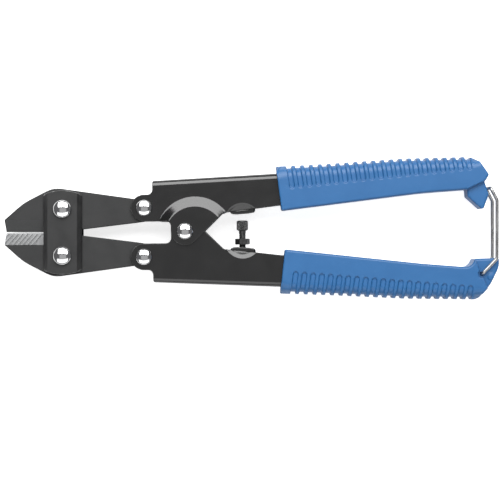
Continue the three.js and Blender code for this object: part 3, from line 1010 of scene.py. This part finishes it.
class Grip:
    """One moulded grip, drawn on the upper side: a plate with rounded edges and a grooved back."""

    def __init__(self, front, first, pitch, tail, holes=()):
        corners = [
            (front, COLLAR_TOP, 0.5),
            (front + COLLAR_LEAN, 8.2, 0.8),
            (100.5, 15.0, 60),
            *tail,
            (93, 29.8, 60),
            (62, 28.0, 80),
        ]
        self.first = first
        self.pitch = pitch
        self.holes = list(holes)
        outline = sampled(rounded(corners, RAD(6)), 0.6)
        start = next(k for k, p in enumerate(outline) if p.y < COLLAR_TOP - 0.7)
        stop = max(k for k, p in enumerate(outline) if p.x > tail[-1][0] and p.y < tail[-1][1] - 1.5)
        self.sides = outline[start:stop]
        self.back = outline[stop - 1 :] + outline[: start + 1]
        self.outline = outline
        self.back_line = sorted((p.x, p.y) for p in self.back)

    def back_v(self, u):
        xs, ys = zip(*self.back_line)
        return np.interp(u, xs, ys)

    def groove(self, xy):
        """How deep the grooves are at points, from 0 to 1."""
        u, v = xy.T
        along = u - (self.back_v(u) - v) * GROOVE_LEAN - self.first
        number = np.clip(np.round(along / self.pitch), 0, GROOVES - 1)
        across = along - number * self.pitch
        end = GROOVE_END[1] + (u - GROOVE_END[0]) * GROOVE_END[2]
        past = np.maximum(end + GROOVE_BED + GROOVE_WALL - v, 0)
        return 1 - ramp((np.hypot(across, past) - GROOVE_BED) / GROOVE_WALL, 0.35)

    def columns(self):
        """Places along the back where the grooves' shape needs points."""
        half = GROOVE_BED + GROOVE_WALL
        offsets = [-half, -half + 0.12, -GROOVE_BED - 0.25, -GROOVE_BED - 0.12, -GROOVE_BED, -0.4]
        offsets += [0] + [-offset for offset in offsets[::-1]] + [self.pitch / 2]
        return [
            self.first + k * self.pitch + offset for k in range(GROOVES) for offset in offsets
        ]

    def grid(self):
        """Points over the grooved part: their place, and their height where the back is rounded."""
        places, heights = [], []
        for column in self.columns():
            top = float(self.back_v(column))
            end = GROOVE_END[1] + (column - GROOVE_END[0]) * GROOVE_END[2]
            depths = [OUTER_ROUND * (1 - math.cos(RAD(a))) for a in range(0, 91, 10)]
            floor = top - end
            depths += list(np.linspace(OUTER_ROUND, floor - 1.9, 4)[1:])
            depths += [floor - 1.9 + 0.27 * k for k in range(1, 9)]
            depths += [floor + 1.6, floor + 3.6]
            for depth in depths:
                place = np.array([[column + depth * GROOVE_LEAN, top - depth]])
                cut = float(self.groove(place)[0])
                reach = max(0.0, OUTER_ROUND - depth) / OUTER_ROUND
                sink = cut * (GROOVE_SIDE + (GROOVE_BACK - GROOVE_SIDE) * reach)
                places.append(Vector((place[0][0], place[0][1] - sink * reach)))
                rise = (OUTER_ROUND - sink) * math.sqrt(max(0.0, 1 - reach**2))
                heights.append(GRIP_HALF - OUTER_ROUND + rise)
        return places, heights

    def plain_height(self, xy, level):
        """Height away from the grooves."""
        gap, where = distance_to(xy, self.back, closed=False)
        eased = OUTER_ROUND - 1.9 * ramp((14 - where) / 14)  # smaller round the rear corner
        height = edge_rise(gap, eased, level)
        gap, _ = distance_to(xy, self.sides, closed=False)
        small = np.where(xy[:, 0] < 43, FRONT_ROUND, INNER_ROUND)
        return np.minimum(height, edge_rise(gap, small, level))

    def dented(self, point):
        """A point of the outline, moved in where a groove crosses it."""
        here = np.array([[point.x, point.y]])
        if not self.first - 2 < point.x < self.first + (GROOVES - 0.4) * self.pitch:
            return point
        if point.y < self.back_v(point.x) - 0.5:
            return point
        return Vector((point.x, point.y - GROOVE_BACK * float(self.groove(here)[0])))

    def solid(self, level, lines=()):
        """The closed shape. level gives the face's height at points, before rounding."""
        places, heights = self.grid()
        columns = self.columns()
        low, high = columns[0] - 0.3, columns[-1] + 0.3
        on_back = [Vector((u, float(self.back_v(u)))) for u in columns if u < self.rear_limit()]
        outline = [p for p in self.outline if p.y < self.back_v(p.x) - 0.3 or not low < p.x < high]
        outline = self.ordered(outline, on_back)
        outer = [self.dented(p) for p in outline]
        known = {}
        kept = []
        spots = np.array([tuple(p) for p in places])
        gap, _ = distance_to(spots, outer)
        clear = inside(spots, outer) & (gap > 0.08) & (spots[:, 0] < self.rear_limit() + 2.2)
        side_gap, _ = distance_to(spots, self.sides, closed=False)
        clear &= side_gap > INNER_ROUND + 0.3
        for spot, height, good in zip(places, heights, clear):
            if good:
                known[len(kept)] = height
                kept.append(spot)
        all_lines = list(lines) + edge_lines(self.sides, INNER_ROUND, closed=False)
        region = Region(outer, self.holes, all_lines, kept)
        height = self.plain_height(region.xy, level(region.xy))
        first_loose = len(outer) + sum(len(h) for h in self.holes)
        first_loose += sum(len(line) for line, _ in all_lines)
        cut = self.groove(region.xy)
        for k, sources in enumerate(region.sources):
            loose = [s - first_loose for s in sources if s >= first_loose]
            if loose and known[loose[0]] < height[k] + GROOVE_BACK:
                height[k] = min(known[loose[0]], height[k])
        on_wall = {v for edge in region.rim for v in edge}
        for k in on_wall:
            if cut[k] > 0 and region.xy[k][1] > self.back_v(region.xy[k][0]) - 1.2:
                height[k] = min(height[k], GRIP_HALF - OUTER_ROUND)
        return region, height, cut

    def rear_limit(self):
        return self.first + (GROOVES - 0.35) * self.pitch

    def ordered(self, outline, on_back):
        """The outline with its back replaced by the columns' own points, from the rear forward."""
        split = next(
            k for k in range(len(outline)) if outline[k].x > 43.5 and outline[k - 1].x <= 43.5
            and outline[k].y < 20
        )
        turned_outline = outline[split:] + outline[:split]
        rear = max(
            k for k, p in enumerate(turned_outline) if p.x > on_back[-1].x - 0.4 and p.y > 15
        )
        return turned_outline[: rear + 1] + on_back[::-1] + turned_outline[rear + 1 :]


def socket(mirror):
    """Cutter for the tang's socket, open at the grip's front."""
    room = 0.15
    outer = [
        Vector((30, inner_v(30) - room)),
        Vector((TANG_END + room, inner_v(TANG_END) - room)),
        Vector((TANG_END + room, web_v(TANG_END) + room)),
        Vector((30, web_v(30) + room)),
    ]
    region = Region(outer)
    height = np.full(len(region.xy), CHANNEL_OUT + room)
    return solid("tang_socket", slab(region, height, -height), PAIR, mirror)


def grip_piece(name, grip, level, lines, corner, mirror):
    """corner gives how far points lie into a sharp inner corner, from 0 to 1, where shade is painted.
    """
    region, height, cut = grip.solid(level, lines)
    crease = RAD(38)
    piece = build(name, slab(region, height, -height), PAIR, [BLUE], mirror, crease)
    # Painted shade with a little dust: darker on the groove walls and in the inner corners, stored
    # for the material.
    dust_and_shade = np.maximum(4 * cut * (1 - cut), corner(region.xy))
    paint(piece, "groove", np.concatenate([dust_and_shade, dust_and_shade]))
    cut_out(piece, socket(mirror))
    shade(piece, crease)
    return piece


def side_of(xy, start, end):
    """Signed distance of points to the left of the line from start to end."""
    a, b = np.array(start), np.array(end)
    along = (b - a) / np.hypot(*(b - a))
    return (xy - a) @ np.array([-along[1], along[0]])


def step_lines(start, end, overrun, offsets):
    """Feature lines beside a step from start to end, run on a little past both."""
    a, b = Vector(start), Vector(end)
    a, b = a + (a - b) * overrun, b + (b - a) * overrun
    return [(inset([a, b], offset, closed=False), False) for offset in offsets]


def upper_grip():
    """Grip with the latch hook, which is thinner than the body and steps down at its end."""
    grip = Grip(38.8, 44.27, 3.784, [
        (119.6, 16.25, 0.4),
        (119.8, 13.2, 1.0),
        (126.3, 7.2, 1.1),
        (128.95, 14.1, 0.9),
        (127.15, 19.4, 0.5),
        (128.9, 22.4, 1.0),
        (124.9, 28.2, 3.0),
        (120.6, 30.1, 5.0),
    ])
    start, end = (119.6, 16.3), (127.2, 19.9)

    def level(xy):
        above = side_of(xy, start, end)
        body = edge_rise(np.maximum(above, 0), 0.6, GRIP_HALF)
        foot = 0.35 * ramp((above + 0.8) / 0.8, 0.5)
        hook = HOOK_HALF + foot
        mix = ramp((above + STEP_WALL) / STEP_WALL, 0.01)
        beyond = (xy[:, 0] > 118.5) & (above < 0.001)
        return np.where(beyond, hook + (body - hook) * mix * (above > -STEP_WALL), body)

    # Painted shadow at the foot of the step down to the hook.
    def corner(xy):
        beyond = (xy[:, 0] > 119.5) & (xy[:, 0] < 127.3)
        return beyond * np.clip(1 - np.abs(side_of(xy, start, end) + 0.3) / 0.5, 0, 1)

    offsets = (0.6, 0.45, 0.3, 0.15, 0.05, 0.0, -STEP_WALL, -0.3, -0.5, -0.8)
    lines = step_lines(start, end, 0.05, offsets)
    piece = grip_piece("upper_grip_moulded", grip, level, lines, corner, False)
    settle(piece, "upper_handle", "grip_plastic", "upper_grip")


def lower_grip():
    """Grip with the latch's pivot in a shallow recess on each side of its end."""
    bail = TO_PAIR @ pivot("latch_swing")
    centre = (bail.x, -bail.y)
    grip = Grip(40.0, 45.38, 3.716, [
        (120.8, 16.8, 3.8),
        (122.4, 13.2, 0.9),
        (132.9, 13.0, 0.8),
        (132.95, 16.6, 8),
        (129.1, 24.3, 14),
        (123.4, 30.45, 5),
    ], [circle(centre, 0.95, 24)])
    start, end = (128.95, 28.0), (121.9, 12.0)
    pad = (129.3, 20.7)

    def into(xy):
        """How far points lie inside the recess."""
        return np.maximum(side_of(xy, start, end), POCKET - np.hypot(*(xy - centre).T))

    def level(xy):
        inward = into(xy)
        body = edge_rise(np.maximum(-inward - STEP_WALL, 0), 0.4, GRIP_HALF)
        floor = RECESS_HALF + 0.5 * ramp((1.9 - np.hypot(*(xy - pad).T)) / 0.9, 0.4)
        return body + (floor - body) * np.clip(inward / STEP_WALL + 1, 0, 1)

    # Painted shade along the recess wall and round the pivot's pocket.
    def corner(xy):
        return np.clip(1 - np.abs(into(xy)) / 0.4, 0, 1)

    lines = step_lines(start, end, 0.1, (-0.5, -0.35, -0.2, -STEP_WALL, 0.0, 0.3, 0.5))
    for out in (0.5, 0.35, 0.2, STEP_WALL, 0, -0.35):
        lines.append((circle(centre, POCKET + out, 48), True))
    for radius in (1.9, 1.7, 1.45, 1.2, 1.0):
        lines.append((circle(pad, radius, 32), True))
    piece = grip_piece("lower_grip_moulded", grip, level, lines, corner, True)
    settle(piece, "lower_handle", "grip_plastic", "lower_grip")


upper_grip()
lower_grip()


# ---- Stop screw and nut, turned about the pair's y axis ----
def screw_ring(v, radius_at, sides):
    """One ring of points about the screw's axis."""
    return [
        (STOP_U + radius_at(a) * math.cos(a), v, -radius_at(a) * math.sin(a))
        for a in np.linspace(0, 2 * math.pi, sides, endpoint=False)
    ]


def around(profile, sides, wave):
    """Solid about the screw's axis through (v, radius) points, with wave(angle, v) taken off."""
    return rings([
        screw_ring(v, lambda a, v=v, base=base: base - wave(a, v), sides) for v, base in profile
    ])


def screw():
    low, high = pair_box("stop_screw")
    tip, top = low.y + 0.05, high.y - 0.03
    head_low = top - 4.42
    pitch, crest = 0.5, 1.45

    def thread(a, v):
        phase = (v / pitch - a / (2 * math.pi)) % 1
        fade = min(1, max(0, (head_low - 0.9 - v) / 0.4))
        return 0.27 * fade * (1 - min(1, 2.6 * abs(phase - 0.5)))

    heights = [(tip, 0.9), (tip + 0.12, 1.1)]
    heights += [(v, crest) for v in np.arange(tip + 0.4, head_low - 0.35, pitch / 8)]
    heights += [(head_low - 0.25, crest), (head_low + 0.1, crest)]
    shank = around(heights, 36, thread)

    def knurl(a, v):
        count = 14
        rise = v / (2 * math.pi * 2.4 / count)
        cuts = [abs(((a * count / (2 * math.pi) + sign * rise) % 1) - 0.5) for sign in (1, -1)]
        middle = min(1, max(0, (v - head_low - 0.55) / 0.15), max(0, (top - 0.5 - v) / 0.15))
        return 0.30 * middle * max(0, 1 - 3.6 * min(cuts))

    profile = [(head_low, 1.45), (head_low + 0.02, 1.7), (head_low + 0.5, 2.42)]
    profile += [(v, 2.44) for v in np.linspace(head_low + 0.56, top - 0.52, 34)]
    profile += [(top - 0.42, 2.40), (top - 0.1, 2.05), (top, 1.85)]
    head = around(profile, 120, knurl)
    piece = build("stop_screw_knurled", join(shank, head), PAIR, [SCREW_STEEL])
    settle(piece, "stop_screw", "screw_steel", "stop_screw")


def nut():
    low, high = pair_box("lock_nut")
    bottom, top = low.y + 0.05, high.y - 0.05
    middle, half = (bottom + top) / 2, (top - bottom) / 2
    apothem = 2.75
    turn = RAD(8)

    def hexagon(a, limit):
        wrapped = (a - turn) % (math.pi / 3) - math.pi / 6
        return min(apothem / math.cos(wrapped), limit)

    loops = []
    outside = [(-1, 2.62), (-1, 2.85), (-0.93, 3.0), (-0.84, 3.17), (-0.84, 9), (0, 9)]
    outside += [(-share, limit) for share, limit in outside[-2::-1]]
    for share, limit in outside:
        loops.append(screw_ring(middle + share * half, lambda a: hexagon(a, limit), 144))
    for share, radius in ((1, 2.0), (0.85, 1.66), (-0.85, 1.66), (-1, 2.0)):
        loops.append(screw_ring(middle + share * half, lambda a: radius, 144))
    piece = build("lock_nut_hexagon", rings(loops, closed=True), PAIR, [NUT_STEEL])
    settle(piece, "lock_nut", "nut_steel", "lock_nut")


screw()
nut()


# ---- Latch bail and spring ----
def bail():
    centre = TO_PAIR @ pivot("latch_swing")
    leg = half_thickness("latch_bail") - 0.75
    inside_end = 3.4
    side = [(centre.x, centre.y), (131.75, -13.1), (132.1, 11.5), (129.5, 16.7)]
    corners = [(*side[0], inside_end)]
    corners += [(*place, leg) for place in side]
    corners += [(*place, -leg) for place in side[::-1]]
    corners.append((*side[0], -inside_end))
    shape = tube(bent_path(corners, 1.25), 0.74, 20)
    piece = build("latch_bail_wire", shape, PAIR, [WIRE_STEEL], crease=RAD(50))
    settle(piece, "latch_bail", "bail_wire", "latch_bail")


def torsion_spring():
    """Coil round the bush, with one leg along each channel."""
    coil, turns, half, foot = 4.15, 3, 2.4, 19.6
    leg = [(14, foot + 0.5), (7.5, foot), (coil + 0.6, foot - 2.5), (coil, foot / 2)]
    steps = turns * 40
    path = bent_path([(*p, half) for p in leg], 2.0)
    for k in range(steps + 1):
        angle = -2 * math.pi * turns * k / steps
        z = half * (1 - 2 * k / steps)
        path.append(Vector((coil * math.cos(angle), coil * math.sin(angle), z)))
    path += bent_path([(u, -v, -half) for u, v in leg[::-1]], 2.0)
    piece = build("torsion_spring", tube(path, 0.58, 12), PAIR, [SPRING_STEEL], crease=RAD(50))
    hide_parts("handle_spring")
    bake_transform(piece)


bail()
torsion_spring()


# ---- Stage, light and camera ----
def floor():
    """A pale table top, just under the tool, that also gives a little light from below."""
    mesh = bpy.data.meshes.new("table")
    reach = 4.0
    corners = [(-reach, -reach, 0), (reach, -reach, 0), (reach, reach, 0), (-reach, reach, 0)]
    mesh.from_pydata(corners, [], [(0, 1, 2, 3)])
    table = add("table", mesh)
    s = Shader("pale_table", Roughness=0.9)
    s.surface.inputs["Base Color"].default_value = (0.85, 0.85, 0.85, 1)
    s.surface.inputs["Emission Color"].default_value = (1, 1, 1, 1)
    seen = s.node("LightPath", {}).outputs["Is Camera Ray"]
    s.to("Emission Strength", s.spread(seen, 0, 1, 0.15, 0.75))
    mesh.materials.append(s.material)


def soft_light(name, direction, distance, size, brightness):
    """A rectangular soft box that faces the tool. brightness is what a mirror would show."""
    lamp = bpy.data.lights.new(name, "AREA")
    lamp.shape = "RECTANGLE"
    lamp.size, lamp.size_y = size
    lamp.energy = brightness * math.pi * size[0] * size[1]
    placed = add(name, lamp)
    away = Vector(direction).normalized()
    placed.location = away * distance
    placed.rotation_euler = away.to_track_quat("Z", "Y").to_euler()


def lights():
    key, top, fill = RAD(38), RAD(-8), RAD(-46)
    soft_light("key", (0, math.sin(key), math.cos(key)), 0.9, (1.2, 0.80), 4.9)
    soft_light("top", (0, math.sin(top), math.cos(top)), 1.2, (1.0, 0.66), 0.30)
    soft_light("fill", (0, math.sin(fill), math.cos(fill)), 0.9, (1.6, 0.72), 1.35)


def world():
    """Dim room for the reflections, and a plain pale background behind the tool."""
    made = bpy.data.worlds.new("studio")
    made.use_nodes = True
    tree = made.node_tree
    room = tree.nodes["Background"]
    room.inputs["Color"].default_value = (0.12, 0.12, 0.125, 1)
    seen = tree.nodes.new("ShaderNodeBackground")
    seen.inputs["Color"].default_value = (0.93, 0.93, 0.94, 1)
    path = tree.nodes.new("ShaderNodeLightPath")
    choose = tree.nodes.new("ShaderNodeMixShader")
    tree.links.new(path.outputs["Is Camera Ray"], choose.inputs[0])
    tree.links.new(room.outputs[0], choose.inputs[1])
    tree.links.new(seen.outputs[0], choose.inputs[2])
    tree.links.new(choose.outputs[0], tree.nodes["World Output"].inputs["Surface"])
    bpy.context.scene.world = made


def camera():
    """Straight down on the tool, at a long lens's distance."""
    data = bpy.data.cameras.new("camera")
    data.sensor_width = 36
    data.lens = 135.0
    data.clip_start = 0.01
    data.clip_end = 20
    placed = add("camera", data)
    distance = 0.8
    placed.location = (-0.00062, -0.0092, upper_pivot.z * MM + distance)
    bpy.context.scene.camera = placed


floor()
lights()
world()
camera()
bpy.context.scene.view_settings.view_transform = "Standard"
